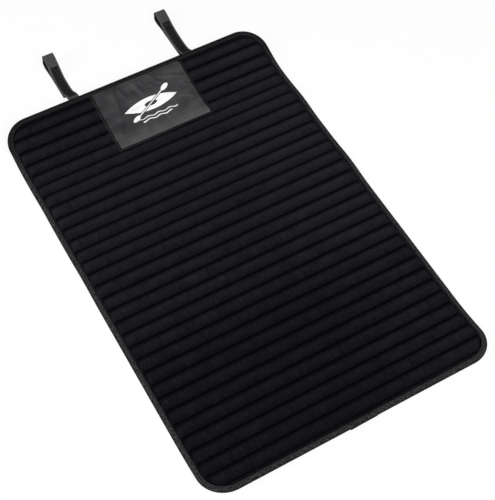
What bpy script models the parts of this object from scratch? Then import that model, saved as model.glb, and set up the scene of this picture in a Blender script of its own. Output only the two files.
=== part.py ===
# Roof pad for loading a kayak: a quilted mat with a bound edge, a sewn label and two strap loops.
# Metres, +Z up. The mat lies on its non-slip side with its length along Y and its straps at the +Y end.
# Flat sizes are given as x across the mat, s along it from the near edge, and a level above its underside.

import math

import bpy
import numpy as np

# The mat laid out flat
MAT_WIDTH = 0.600
MAT_LENGTH = 0.908
CORNER_RADIUS = 0.054

# Quilting
CHANNEL_PITCH = 0.0294      # from seam to seam
FAR_CHANNEL = 0.0395        # from the far edge to its nearest seam
SEAM_HALF_WIDTH = 0.0035    # half of the furrow that a seam presses into the cloth
SEAM_DIMPLE = 0.0004        # how far a seam lifts the backing
PILLOW_SQUARENESS = 2.5     # 2 is a half round channel, more is flatter on top
FIELD_INSET = 0.013         # the padding starts this far inside the mat's edge
SHOULDER = 0.0075           # a channel rises to full height over this run
SHOULDER_STEPS = (0, 0.3, 1)

# Layers
BACKING = 0.0009
FACE = 0.0009
FOAM_CREST = 0.0060
FOAM_AT_SEAM = 0.0005
GAP = 0.0003                # between faces that touch
CLOTH_INSET = 0.0013        # the cloths' raw edge inside the folded binding

# Binding
BINDING = 0.0007
BINDING_FLANGE = 0.0095
BINDING_FOLD = 0.0008       # rounding of the outer fold
BINDING_CROWN = 0.0008      # how far the padding holds up the tape's inner edge
JOIN_START = -0.022         # the lap starts at this x on the near edge
JOIN_LENGTH = 0.040
JOIN_BULGE = 0.0008

# How the mat lies: both ends curl up from the floor and two low waves cross it
NEAR_BEND_START = 0.137     # from the near edge
NEAR_BEND_RADIUS = 0.400
NEAR_LIFT = math.radians(8.6)
FAR_BEND_START = 0.128      # from the far edge
FAR_BEND_RADIUS = 0.150
FAR_LIFT = math.radians(16.7)
WAVES = ((0.510, 0.075, 0.0041), (0.695, 0.062, 0.0036))    # middle, half length, height

# Label
LABEL_WIDTH = 0.2185
LABEL_REACH = 0.159         # from the far edge to the label's near edge
LABEL_SHIFT = 0.006         # it is sewn this much to the right of the middle
LABEL_HEM = 0.005
LABEL = 0.0005
LABEL_SAG = 0.45            # how much of a furrow's depth the label follows
LABEL_HEM_SAG = 0.85        # and the same along its sewn sides

# Straps
STRAP_SPACING = 0.270
STRAP_SHIFT = 0.004         # the pair is sewn this much to the right of the middle
WEBBING_WIDTH = 0.024
WEBBING = 0.0014
STRAP_ROOT = 0.024          # sewn length under the mat
STRAP_SEW_INSET = 0.010     # the webbing is free from here on, measured from the far edge
STRAP_DROP_RUN = 0.046      # from the far edge to where the strap comes down to the floor
STRAP_REACH = 0.148         # from the far edge to the tip
STRAP_TIP_RISE = 0.016
LEAVE_PULL = 0.4            # how stiffly the webbing leaves the mat
SETTLE_PULL = 1.3           # and how gently it settles on the floor
EYE = 0.0085                # inner height of the fold at the tip
EYE_CLOSES = 0.40           # the two layers meet at this share of the loop
FREE_END = 0.05             # the free end stops at this share of the loop
PILE = 0.0010
PILE_WIDTH = 0.017
PILE_SPAN = (0.04, 0.74)    # shares of the loop
HOOK = 0.0010
HOOK_WIDTH = 0.020
HOOK_SPAN = (0.06, 0.50)

# Fineness
CORNER_STEP = 10            # degrees
ROW_SPACING = 0.0009        # rows closer than this are one row
STRAIGHT = math.radians(0.2)

# Worked out from these
MIDDLE_X = MAT_WIDTH / 2 - CORNER_RADIUS
SEAM_LEVEL = BACKING + GAP + SEAM_DIMPLE + FOAM_AT_SEAM + GAP
EDGE_THICKNESS = SEAM_LEVEL + FACE + GAP + BINDING
FIELD_COLUMNS = [FIELD_INSET + SHOULDER * step for step in SHOULDER_STEPS]


def seam_places():
    """Distances of the seams from the near edge, laid out from the far edge."""
    room = MAT_LENGTH - FAR_CHANNEL - FIELD_INSET - SEAM_HALF_WIDTH / 2
    count = int(room / CHANNEL_PITCH) + 1
    last = MAT_LENGTH - FAR_CHANNEL
    return np.array([last - step * CHANNEL_PITCH for step in range(count)][::-1])


SEAMS = seam_places()


def bend_height(run, radius, lift):
    """Rise of a strip that curves up with one radius and then goes on straight."""
    turned = np.clip(run / radius, 0, lift)
    straight = np.maximum(run - radius * lift, 0)
    return radius * (1 - np.cos(turned)) + straight * math.sin(lift)


def rest_height(s):
    """Height of the underside over the floor at a distance s along the mat."""
    height = bend_height(NEAR_BEND_START - s, NEAR_BEND_RADIUS, NEAR_LIFT)
    height = height + bend_height(s - MAT_LENGTH + FAR_BEND_START, FAR_BEND_RADIUS, FAR_LIFT)
    for middle, half_length, wave in WAVES:
        phase = np.clip((s - middle) / half_length, -1, 1)
        height = height + wave * np.cos(phase * math.pi / 2) ** 2
    return height


def lay_down():
    """Stations at every half channel: distance, y, z and the upward normal's y and z."""
    half = CHANNEL_PITCH / 2
    before = math.ceil(SEAMS[-1] / half) + 2
    after = math.ceil((MAT_LENGTH - SEAMS[-1]) / half) + 2
    s = SEAMS[-1] + half * np.arange(-before, after)
    z = rest_height(s)
    y = np.concatenate([[0], np.cumsum(np.sqrt(np.diff(s) ** 2 - np.diff(z) ** 2))])
    y = y - np.interp(0, s, y)
    along = np.stack([np.gradient(y, s), np.gradient(z, s)])
    along = along / np.linalg.norm(along, axis=0)
    return s, y, z, -along[1], along[0]


LIE_S, LIE_Y, LIE_Z, LIE_NY, LIE_NZ = lay_down()


def on_mat(x, s, level):
    """Points of the resting mat from flat places and levels above the underside."""
    x, s, level = np.broadcast_arrays(x, s, level)
    y = np.interp(s, LIE_S, LIE_Y) + level * np.interp(s, LIE_S, LIE_NY)
    z = np.interp(s, LIE_S, LIE_Z) + level * np.interp(s, LIE_S, LIE_NZ)
    return np.stack([x, y, z], axis=-1)


def bent_stations():
    """Distances where the lying mat turns."""
    slope = np.arctan2(np.diff(LIE_Z), np.diff(LIE_Y))
    return LIE_S[1:-1][np.abs(np.diff(slope)) > STRAIGHT]


def half_width(s, inset):
    """Half width at s of the mat's outline moved inwards by inset, fanned out past its ends."""
    radius = CORNER_RADIUS - inset
    run = np.minimum(s, MAT_LENGTH - s) - inset
    arc = np.sqrt(np.maximum(radius ** 2 - (radius - np.clip(run, 0, radius)) ** 2, 0))
    return MIDDLE_X + arc + np.minimum(run, 0)


def rows_along(inset, keep_crests):
    """Distances of a cloth's rows: seams, furrow sides, crests, edge steps and corner arcs."""
    edges = [inset, BINDING_FLANGE + GAP, FIELD_INSET]
    shoulders = FIELD_COLUMNS[1:]
    angles = np.radians(np.arange(CORNER_STEP, 90, CORNER_STEP))
    arcs = list(CLOTH_INSET + (CORNER_RADIUS - CLOTH_INSET) * (1 - np.cos(angles)))
    bounds = np.concatenate([[FIELD_INSET], SEAMS, [MAT_LENGTH - FIELD_INSET]])
    crests = list((bounds[1:] + bounds[:-1]) / 2)
    if not keep_crests:
        bent = bent_stations()
        crests = [crest for crest in crests if np.min(np.abs(bent - crest)) < ROW_SPACING]
    wanted = edges + [MAT_LENGTH - edge for edge in edges]
    wanted += list(SEAMS) + list(SEAMS - SEAM_HALF_WIDTH) + list(SEAMS + SEAM_HALF_WIDTH) + crests
    wanted += shoulders + arcs + [MAT_LENGTH - place for place in shoulders + arcs]
    rows = []
    for place in wanted:
        inside = inset <= place <= MAT_LENGTH - inset
        if inside and all(abs(place - row) > ROW_SPACING for row in rows):
            rows.append(place)
    return np.array(sorted(rows))


def seam_dimple(s, depth):
    """Lift of the backing over each seam, only where there is padding."""
    nearest = np.min(np.abs(s[..., None] - SEAMS), axis=-1)
    lift = SEAM_DIMPLE * np.clip(1 - nearest / SEAM_HALF_WIDTH, 0, 1)
    return np.where(depth >= FIELD_INSET - ROW_SPACING / 2, lift, 0)


def pillow(s):
    """Share of the padding's full height across each channel, 0 at its seams and 1 on top."""
    bounds = np.concatenate([[FIELD_INSET], SEAMS, [MAT_LENGTH - FIELD_INSET]])
    channel = np.clip(np.searchsorted(bounds, s, side="right") - 1, 0, len(bounds) - 2)
    width = bounds[channel + 1] - bounds[channel]
    across = np.clip((s - bounds[channel]) / width, 0, 1)
    rise = np.sqrt(np.maximum(1 - np.abs(2 * across - 1) ** PILLOW_SQUARENESS, 0))
    return rise * np.minimum(width / CHANNEL_PITCH, 1)


def foam_thickness(s, depth):
    """Padding between two cloths at s, at a depth inside the mat's edge."""
    shoulder = np.sqrt(np.clip((depth - FIELD_INSET) / SHOULDER, 0, 1))
    return FOAM_AT_SEAM + (FOAM_CREST - FOAM_AT_SEAM) * np.minimum(pillow(s), shoulder)


def backing_under(s, depth):
    """Level of the backing's underside: on the floor inside, over the binding's fold at the edge."""
    ramp_start = BINDING_FLANGE + GAP
    share = np.clip((FIELD_INSET - depth) / (FIELD_INSET - ramp_start), 0, 1)
    return (BINDING + GAP) * share + seam_dimple(s, depth)


def foam_under(s, depth):
    """Level of the padding's underside."""
    return BACKING + GAP + seam_dimple(s, depth)


def face_under(s, depth):
    """Level of the top cloth's underside: on the padding inside, at the seams' level at the edge."""
    return np.maximum(foam_under(s, depth) + foam_thickness(s, depth) + GAP, SEAM_LEVEL)


def cloth_grid(rows, insets):
    """Flat x, s and depth for rows along the mat and for columns at insets from both sides."""
    s = np.repeat(rows[:, None], 2 * len(insets), axis=1)
    widths = np.stack([half_width(rows, inset) for inset in insets], axis=1)
    x = np.concatenate([-widths, widths[:, ::-1]], axis=1)
    column_depth = np.array(insets + insets[::-1])
    depth = np.minimum(column_depth[None, :], np.minimum(s, MAT_LENGTH - s))
    return x, s, depth


def material(name, colour, roughness):
    """One plain finish."""
    finish = bpy.data.materials.new(name)
    finish.use_nodes = True
    shader = finish.node_tree.nodes["Principled BSDF"]
    shader.inputs["Base Color"].default_value = (*colour, 1)
    shader.inputs["Roughness"].default_value = roughness
    shader.inputs["Metallic"].default_value = 0
    return finish


def new_object(name, points, faces, finish, sharp_angle, home):
    """A mesh object under the mat's frame."""
    mesh = bpy.data.meshes.new(name)
    mesh.from_pydata([tuple(point) for point in points], [], faces)
    mesh.update()
    mesh.shade_smooth()
    mesh.set_sharp_from_angle(angle=math.radians(sharp_angle))
    mesh.materials.append(finish)
    piece = bpy.data.objects.new(name, mesh)
    piece.parent = home
    bpy.context.collection.objects.link(piece)
    return piece


def sheet(name, upper, lower, finish, home):
    """A closed sheet between two grids of points with the same rows."""
    rows, upper_columns = upper.shape[:2]
    lower_columns = lower.shape[1]
    base = rows * upper_columns
    points = np.concatenate([upper.reshape(-1, 3), lower.reshape(-1, 3)])
    faces = []
    for row in range(rows - 1):
        start = row * upper_columns
        for column in range(upper_columns - 1):
            a = start + column
            faces.append((a, a + 1, a + upper_columns + 1, a + upper_columns))
        first = base + row * lower_columns
        for column in range(lower_columns - 1):
            b = first + column
            faces.append((b, b + lower_columns, b + lower_columns + 1, b + 1))
        last = first + lower_columns - 1
        end = start + upper_columns - 1
        faces.append((start, start + upper_columns, first + lower_columns, first))
        faces.append((end, last, last + lower_columns, end + upper_columns))
    top_row = list(range(base - upper_columns, base))
    under_row = list(range(base + (rows - 1) * lower_columns, base + rows * lower_columns))
    faces.append(tuple(range(base, base + lower_columns)) + tuple(range(upper_columns))[::-1])
    faces.append(tuple(top_row) + tuple(under_row[::-1]))
    return new_object(name, points, faces, finish, 50, home)


def make_backing(home):
    """Non-slip cloth on the underside."""
    rows = rows_along(CLOTH_INSET, keep_crests=False)
    x, s, depth = cloth_grid(rows, [CLOTH_INSET, BINDING_FLANGE + GAP, FIELD_INSET])
    under = backing_under(s, depth)
    finish = material("grip_mesh", (0.020, 0.020, 0.021), 0.85)
    return sheet("grip_backing", on_mat(x, s, under + BACKING), on_mat(x, s, under), finish, home)


def make_foam(home):
    """Padding, thin under each seam and full in each channel."""
    rows = rows_along(FIELD_INSET, keep_crests=True)
    x, s, depth = cloth_grid(rows, FIELD_COLUMNS)
    upper = on_mat(x, s, foam_under(s, depth) + foam_thickness(s, depth))
    x, s, depth = cloth_grid(rows, [FIELD_INSET])
    lower = on_mat(x, s, foam_under(s, depth))
    finish = material("foam", (0.16, 0.16, 0.17), 0.95)
    return sheet("foam_padding", upper, lower, finish, home)


def make_face(home):
    """Top cloth, drawn down to the seams."""
    rows = rows_along(CLOTH_INSET, keep_crests=True)
    x, s, depth = cloth_grid(rows, [CLOTH_INSET] + FIELD_COLUMNS)
    under = face_under(s, depth)
    finish = material("face_cloth", (0.012, 0.012, 0.015), 0.9)
    return sheet("face_fabric", on_mat(x, s, under + FACE), on_mat(x, s, under), finish, home)


def outline_stations():
    """Stations round the mat's edge, anticlockwise: x, s and the inward direction in the flat."""
    side = [s for s in bent_stations() if CORNER_RADIUS < s < MAT_LENGTH - CORNER_RADIUS]
    step = math.radians(CORNER_STEP)
    angles = np.arange(0, math.pi / 2 + step / 2, step)
    join = [JOIN_START, JOIN_START + JOIN_BULGE, JOIN_START + JOIN_LENGTH / 2, JOIN_START + JOIN_LENGTH]
    far = MAT_LENGTH - CORNER_RADIUS
    stations = [(x, 0, 0, 1) for x in join]
    corners = ((MIDDLE_X, CORNER_RADIUS, -90), (MIDDLE_X, far, 0), (-MIDDLE_X, far, 90),
               (-MIDDLE_X, CORNER_RADIUS, 180))
    sides = ([(MAT_WIDTH / 2, s, -1, 0) for s in side], [], [(-MAT_WIDTH / 2, s, 1, 0) for s in side[::-1]], [])
    for (x, s, start), after in zip(corners, sides):
        for angle in angles + math.radians(start):
            out_x, out_s = math.cos(angle), math.sin(angle)
            stations.append((x + CORNER_RADIUS * out_x, s + CORNER_RADIUS * out_s, -out_x, -out_s))
        stations += after
    return np.array(stations)


def lap_bulge(x, s):
    """Extra thickness of the lapped tape: a step at its start, fading out along its length."""
    share = (x - JOIN_START) / JOIN_LENGTH
    near_edge = (s < BINDING) & (share > 0) & (share < 1)
    return np.where(near_edge, JOIN_BULGE * np.minimum(1, 2 * (1 - share)), 0)


def make_binding(home):
    """Woven tape folded over the mat's edge, one closed ring."""
    x, s, in_x, in_s = outline_stations().T
    bulge = lap_bulge(x, s)
    top, fifth = EDGE_THICKNESS, EDGE_THICKNESS / 5
    outer = [(BINDING_FLANGE, top + BINDING_CROWN, 1), (BINDING_FOLD, top, 1), (0, top - fifth, 1),
             (0, fifth, 1), (BINDING_FOLD, 0, 1), (BINDING_FLANGE, 0, 1)]
    inner = [(BINDING_FLANGE, BINDING, 0), (BINDING, BINDING, 0),
             (BINDING, top - BINDING, 0), (BINDING_FLANGE, top - BINDING + BINDING_CROWN, 0)]
    rings = []
    for inset, level, is_outer in outer + inner:
        swell = bulge * is_outer
        out = swell * (inset < BINDING_FLANGE)
        depth = inset - out
        lift = swell if level > top / 2 else -swell
        rings.append(on_mat(x + in_x * depth, s + in_s * depth, level + lift))
    rings = np.stack(rings, axis=1)
    count, corners = rings.shape[:2]
    faces = []
    for station in range(count):
        after = (station + 1) % count
        for corner in range(corners):
            beside = (corner + 1) % corners
            faces.append((station * corners + corner, station * corners + beside,
                          after * corners + beside, after * corners + corner))
    finish = material("binding_tape", (0.030, 0.030, 0.032), 0.7)
    return new_object("edge_binding", rings.reshape(-1, 3), faces, finish, 40, home)


def label_level(s, sag):
    """Level of the label's underside: over the crests, part of the way into the furrows."""
    field = np.full_like(s, FIELD_INSET + SHOULDER)
    depth = np.minimum(field, MAT_LENGTH - s)
    cloth = face_under(s, depth) + FACE
    crest = BACKING + GAP + FOAM_CREST + GAP + FACE
    bridged = crest - sag * (crest - cloth)
    past_last_seam = s > SEAMS[-1] + SEAM_HALF_WIDTH
    return np.where(past_last_seam, cloth, np.maximum(bridged, cloth)) + GAP


def make_label(home):
    """Satin patch, sewn along its sides, resting on the channels."""
    near, far = MAT_LENGTH - LABEL_REACH, MAT_LENGTH - BINDING_FLANGE - GAP
    rows = [row for row in rows_along(CLOTH_INSET, keep_crests=True) if near + ROW_SPACING < row < far - ROW_SPACING]
    rows = np.array([near, near + LABEL_HEM] + [row for row in rows if row > near + LABEL_HEM + ROW_SPACING] + [far])
    edge = LABEL_WIDTH / 2
    columns = np.array([edge, edge - LABEL_HEM, edge - 4 * LABEL_HEM])
    x = LABEL_SHIFT + np.concatenate([-columns, columns[::-1]])[None, :]
    sag = np.array([LABEL_HEM_SAG, LABEL_HEM_SAG, LABEL_SAG, LABEL_SAG, LABEL_HEM_SAG, LABEL_HEM_SAG])[None, :]
    x, s, sag = np.broadcast_arrays(x, rows[:, None], sag)
    under = label_level(s, sag)
    finish = material("label_satin", (0.055, 0.055, 0.060), 0.35)
    return sheet("label_patch", on_mat(x, s, under + LABEL), on_mat(x, s, under), finish, home)


def loop_line():
    """Where the strap's upper layer comes to the floor, y and z, and its run to the fold."""
    far_edge = on_mat(0, MAT_LENGTH, 0)[1]
    start_y = far_edge + STRAP_DROP_RUN
    start_z = GAP + HOOK + GAP + WEBBING + GAP + WEBBING / 2
    slope = math.atan(2 * STRAP_TIP_RISE / (STRAP_REACH - STRAP_DROP_RUN))
    radius = (EYE + WEBBING) / 2
    fold_y = far_edge + STRAP_REACH - radius * (1 + math.sin(slope)) - WEBBING / 2
    return start_y, start_z, fold_y - start_y


def loop_point(share, offset):
    """A place on the loop's upper layer, moved along its normal by offset."""
    start_y, start_z, run = loop_line()
    y = start_y + run * share
    z = start_z + STRAP_TIP_RISE * share ** 2
    slope = np.arctan(2 * STRAP_TIP_RISE * share / run)
    return np.stack([y - offset * np.sin(slope), z + offset * np.cos(slope)], axis=-1)


def layer_distance(share):
    """From the middle of the upper layer to the middle of the lower one."""
    opened = np.clip((share - EYE_CLOSES) / (1 - EYE_CLOSES), 0, 1)
    smooth = opened ** 2 * (3 - 2 * opened)
    return WEBBING + GAP + (EYE - GAP) * smooth


def strap_line():
    """Middle of the webbing: sewn root, drop to the floor, upper layer, fold and lower layer."""
    start_y, start_z, run = loop_line()
    sewn = MAT_LENGTH - STRAP_SEW_INSET
    root = on_mat(0, np.array([sewn - STRAP_ROOT, sewn]), -GAP - WEBBING / 2)[:, 1:]
    t = np.linspace(0, 1, 11)[1:-1, None]
    fall_run = STRAP_DROP_RUN + STRAP_SEW_INSET
    leave = np.array([math.cos(FAR_LIFT), math.sin(FAR_LIFT)]) * fall_run * LEAVE_PULL
    settle = np.array([fall_run * SETTLE_PULL, 0])
    start = np.array([start_y, start_z])
    drop = ((2 * t ** 3 - 3 * t ** 2 + 1) * root[1] + (t ** 3 - 2 * t ** 2 + t) * leave
            + (3 * t ** 2 - 2 * t ** 3) * start + (t ** 3 - t ** 2) * settle)
    upper = loop_point(np.linspace(0, 1, 10), 0)
    radius = (EYE + WEBBING) / 2
    centre = loop_point(np.array(1.0), -radius)
    slope = math.atan(2 * STRAP_TIP_RISE / run)
    turn = slope + math.pi / 2 - np.linspace(0, math.pi, 9)[1:-1]
    fold = centre + radius * np.stack([np.cos(turn), np.sin(turn)], axis=-1)
    share = np.linspace(1, FREE_END, 12)
    lower = loop_point(share, -layer_distance(share))
    return np.concatenate([root, drop, upper, fold, lower])


def band(name, line, width, thickness, x, finish, home):
    """A flat strip of even width whose middle follows a line of (y, z) points."""
    ahead = np.gradient(line, axis=0)
    ahead = ahead / np.linalg.norm(ahead, axis=1, keepdims=True)
    normal = np.stack([-ahead[:, 1], ahead[:, 0]], axis=-1) * thickness / 2
    upper, lower = [], []
    for side in (-width / 2, width / 2):
        across = np.full((len(line), 1), side)
        upper.append(np.concatenate([across, line + normal], axis=1))
        lower.append(np.concatenate([across, line - normal], axis=1))
    piece = sheet(name, np.stack(upper, axis=1), np.stack(lower, axis=1), finish, home)
    piece.location.x = x
    return piece


def make_straps(home):
    """Both strap loops with the soft and the hooked half of their fastening."""
    webbing = material("webbing", (0.060, 0.060, 0.062), 0.75)
    pile = material("pile_tape", (0.018, 0.018, 0.019), 0.95)
    hook = material("hook_tape", (0.014, 0.014, 0.015), 0.6)
    pile_line = loop_point(np.linspace(*PILE_SPAN, 8), WEBBING / 2 + GAP + PILE / 2)
    share = np.linspace(*HOOK_SPAN, 6)
    hook_line = loop_point(share, -layer_distance(share) - WEBBING / 2 - GAP - HOOK / 2)
    for side, sign in (("left", -1), ("right", 1)):
        x = STRAP_SHIFT + sign * STRAP_SPACING / 2
        band(side + "_strap", strap_line(), WEBBING_WIDTH, WEBBING, x, webbing, home)
        band(side + "_pile_pad", pile_line, PILE_WIDTH, PILE, x, pile, home)
        band(side + "_hook_pad", hook_line, HOOK_WIDTH, HOOK, x, hook, home)


def stand_on_origin(home):
    """Move the whole object so that the middle of its footprint is at the origin."""
    pieces = [piece for piece in bpy.data.objects if piece.type == "MESH"]
    corners = np.array([np.array(corner) + np.array(piece.location) for piece in pieces for corner in piece.bound_box])
    middle = (corners.min(axis=0) + corners.max(axis=0)) / 2
    home.location = (-middle[0], -middle[1], -corners[:, 2].min())


def main():
    for old in list(bpy.data.objects):
        bpy.data.objects.remove(old, do_unlink=True)
    home = bpy.data.objects.new("mat_frame", None)
    bpy.context.collection.objects.link(home)
    make_backing(home)
    make_foam(home)
    make_face(home)
    make_binding(home)
    make_label(home)
    make_straps(home)
    bpy.context.view_layer.update()
    stand_on_origin(home)


main()
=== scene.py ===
# Dresses the roof pad: quilted top cloth, non-slip underside, woven binding, satin label and strap loops.
# A flat place is x across the mat, s along it from the near edge, and a level above its underside.
import math

import bpy
import numpy as np
from mathutils import Matrix, Vector


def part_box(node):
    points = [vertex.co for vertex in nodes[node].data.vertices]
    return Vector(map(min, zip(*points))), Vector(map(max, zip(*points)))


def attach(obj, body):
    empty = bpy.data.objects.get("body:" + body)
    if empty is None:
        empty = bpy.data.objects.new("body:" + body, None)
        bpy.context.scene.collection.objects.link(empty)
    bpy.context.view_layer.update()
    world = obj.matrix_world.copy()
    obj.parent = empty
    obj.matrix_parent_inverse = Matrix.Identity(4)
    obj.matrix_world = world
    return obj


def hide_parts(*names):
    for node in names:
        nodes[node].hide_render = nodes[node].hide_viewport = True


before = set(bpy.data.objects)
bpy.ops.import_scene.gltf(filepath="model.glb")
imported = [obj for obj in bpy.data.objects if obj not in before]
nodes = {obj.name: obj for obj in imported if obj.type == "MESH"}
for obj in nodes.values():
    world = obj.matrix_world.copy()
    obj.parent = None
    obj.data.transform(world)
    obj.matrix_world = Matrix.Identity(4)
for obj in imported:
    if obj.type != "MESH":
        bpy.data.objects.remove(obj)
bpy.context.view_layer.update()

# The mat as it is cut, sewn and laid down, in metres
mat = dict(
    width=0.600, length=0.908, corner=0.054,
    pitch=0.0294, farChannel=0.0395, squareness=2.5, fieldInset=0.013, shoulder=0.0075,
    backing=0.0009, face=0.0009, foamCrest=0.0060, foamAtSeam=0.0005, gap=0.0003,
    clothInset=0.0013, dimple=0.0004, furrow=0.0035,
    nearBend=(0.137, 0.400, math.radians(8.6)),      # start from its edge, radius, lift
    farBend=(0.128, 0.150, math.radians(16.7)),
    waves=((0.510, 0.075, 0.0041), (0.695, 0.062, 0.0036)),    # middle, half length, height
)
seamLevel = mat["backing"] + 2 * mat["gap"] + mat["dimple"] + mat["foamAtSeam"]


def seamPlaces():
    # Distances of the seams from the near edge, laid out from the far edge
    last = mat["length"] - mat["farChannel"]
    count = int((last - mat["fieldInset"] - mat["furrow"] / 2) / mat["pitch"]) + 1
    return last - mat["pitch"] * np.arange(count)[::-1]


seams = seamPlaces()
channels = np.concatenate([[mat["fieldInset"]], seams, [mat["length"] - mat["fieldInset"]]])


def bendHeight(run, radius, lift):
    # An arc of one radius that goes on straight once it has turned by lift
    turned = np.clip(run / radius, 0, lift)
    return radius * (1 - np.cos(turned)) + np.maximum(run - radius * lift, 0) * math.sin(lift)


def restHeight(s):
    # Both curled ends and the low waves, each a squared cosine
    start, radius, lift = mat["nearBend"]
    height = bendHeight(start - s, radius, lift)
    start, radius, lift = mat["farBend"]
    height = height + bendHeight(s - mat["length"] + start, radius, lift)
    for middle, half, wave in mat["waves"]:
        height = height + wave * np.cos(np.clip((s - middle) / half, -1, 1) * math.pi / 2) ** 2
    return height


def layDown(step=0.0015, past=0.03):
    # The underside's line: y is what each step's length leaves beside its rise; then the unit normal
    s = np.arange(-past, mat["length"] + past, step)
    z = restHeight(s)
    y = np.concatenate([[0], np.cumsum(np.sqrt(np.diff(s) ** 2 - np.diff(z) ** 2))])
    y = y - np.interp(0, s, y)
    slope = np.arctan2(np.gradient(z), np.gradient(y))
    return s, y, z, -np.sin(slope), np.cos(slope)


lieS, lieY, lieZ, lieNy, lieNz = layDown()


def flatToRest(x, s, level):
    # A flat place goes to its point on the underside's line, moved along the normal by its level
    x, s, level = np.broadcast_arrays(x, s, level)
    y = np.interp(s, lieS, lieY) + level * np.interp(s, lieS, lieNy)
    z = np.interp(s, lieS, lieZ) + level * np.interp(s, lieS, lieNz)
    return np.stack([x, y, z], axis=-1)


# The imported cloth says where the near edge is
nearCloth = flatToRest(0.0, mat["clothInset"], seamLevel)
home = np.array([0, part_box("face_fabric")[0].y - nearCloth[1], 0])


def onMat(x, s, level):
    return flatToRest(x, s, level) + home


def matNormal(s):
    return np.stack([np.zeros_like(s), np.interp(s, lieS, lieNy), np.interp(s, lieS, lieNz)], axis=-1)


def depthInside(x, s):
    # Distance inside the rounded rectangle of the mat's outline
    across = np.abs(x) - (mat["width"] / 2 - mat["corner"])
    along = np.abs(s - mat["length"] / 2) - (mat["length"] / 2 - mat["corner"])
    past = np.hypot(np.maximum(across, 0), np.maximum(along, 0))
    return mat["corner"] - past - np.minimum(np.maximum(across, along), 0)


def halfWidth(s, inset):
    # Half the width at s of the outline moved inwards by inset, fanned out past its ends
    radius = mat["corner"] - inset
    run = np.minimum(s, mat["length"] - s) - inset
    arc = np.sqrt(np.maximum(radius ** 2 - (radius - np.clip(run, 0, radius)) ** 2, 0))
    return mat["width"] / 2 - mat["corner"] + arc + np.minimum(run, 0)


def placeInChannel(s):
    # The share of its channel that lies before s, and the channel's width
    spot = np.clip(np.searchsorted(channels, s, side="right") - 1, 0, len(channels) - 2)
    width = channels[spot + 1] - channels[spot]
    return np.clip((s - channels[spot]) / width, 0, 1), width


def pillow(s):
    # Superellipse over each channel: 0 at its seams, 1 on top, lower in a narrow channel
    across, width = placeInChannel(s)
    rise = np.sqrt(np.maximum(1 - np.abs(2 * across - 1) ** mat["squareness"], 0))
    return rise * np.minimum(width / mat["pitch"], 1)


def nearestSeam(s):
    return np.min(np.abs(np.asarray(s)[..., None] - seams), axis=-1)


def dimple(s, depth):
    # The seam lifts the backing where there is padding
    lift = mat["dimple"] * np.clip(1 - nearestSeam(s) / mat["furrow"], 0, 1)
    return np.where(depth >= mat["fieldInset"], lift, 0)


def faceLevel(s, depth):
    # The top cloth's upper side: padding height in the channels, the seams' level round the edge
    shoulder = np.sqrt(np.clip((depth - mat["fieldInset"]) / mat["shoulder"], 0, 1))
    foam = mat["foamAtSeam"] + (mat["foamCrest"] - mat["foamAtSeam"]) * np.minimum(pillow(s), shoulder)
    under = mat["backing"] + 2 * mat["gap"] + dimple(s, depth) + foam
    return np.maximum(under, seamLevel) + mat["face"]


def clothLevel(s, depth):
    # Sewing pushes the padding to the far side of each channel: half an ellipse on each side of its crest
    share, width = placeInChannel(s)
    share = share - faceLook["crestAt"]
    share = share / np.where(share < 0, faceLook["crestAt"], 1 - faceLook["crestAt"])
    rise = np.sqrt(np.maximum(1 - share ** 2, 0)) * np.minimum(width / mat["pitch"], 1)
    shoulder = np.sqrt(np.clip((depth - mat["fieldInset"]) / faceLook["shoulder"], 0, 1))
    full = seamLevel + mat["face"] + faceLook["crest"] * np.minimum(rise, shoulder)
    return np.maximum(faceLevel(s, depth), full)


def softNoise(u, v, seed):
    # Random heights from -1 to 1 on a unit lattice, blended smoothly between its points
    table = np.random.default_rng(seed).uniform(-1, 1, (97, 89))
    u, v = np.broadcast_arrays(u, v)
    i, j = np.floor(u).astype(int), np.floor(v).astype(int)
    a, b = u - i, v - j
    a, b = a * a * (3 - 2 * a), b * b * (3 - 2 * b)
    at = lambda di, dj: table[(i + di) % 97, (j + dj) % 89]
    return (at(0, 0) * (1 - a) + at(1, 0) * a) * (1 - b) + (at(0, 1) * (1 - a) + at(1, 1) * a) * b


def smoothStep(value, low, high):
    share = np.clip((value - low) / (high - low), 0, 1)
    return share * share * (3 - 2 * share)


# Meshes


def newPiece(name, points, faces, uv, paint, sharp=50):
    # Points and faces as arrays; a face has 4 corners or is a list; uv has one row for each corner
    mesh = bpy.data.meshes.new(name)
    mesh.from_pydata(points.tolist(), [], faces)
    layer = mesh.uv_layers.new(name="UVMap")
    layer.data.foreach_set("uv", np.asarray(uv, np.float32).ravel())
    mesh.shade_smooth()
    mesh.set_sharp_from_angle(angle=math.radians(sharp))
    mesh.materials.append(paint)
    piece = bpy.data.objects.new(name, mesh)
    bpy.context.scene.collection.objects.link(piece)
    return piece


def carried(name, sections, uv, paint, closed=False, sharp=50):
    # A closed section carried along rows: sections is rows x columns x 3, and uv has one column more,
    # and one row more if the rows close too. Open ends are capped.
    rows, columns = sections.shape[:2]
    i, j = np.meshgrid(np.arange(rows if closed else rows - 1), np.arange(columns), indexing="ij")
    i = np.stack([i, i, i + 1, i + 1], axis=-1).reshape(-1, 4)
    j = np.stack([j, j + 1, j + 1, j], axis=-1).reshape(-1, 4)
    faces = ((i % rows) * columns + j % columns).tolist()
    corners = uv[i, j].reshape(-1, 2)
    if not closed:
        ends = [list(range(columns))[::-1], list(range((rows - 1) * columns, rows * columns))]
        faces += ends
        corners = np.concatenate([corners, uv[0, :columns][::-1], uv[-1, :columns]])
    return newPiece(name, sections.reshape(-1, 3), faces, corners, paint, sharp)


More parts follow.
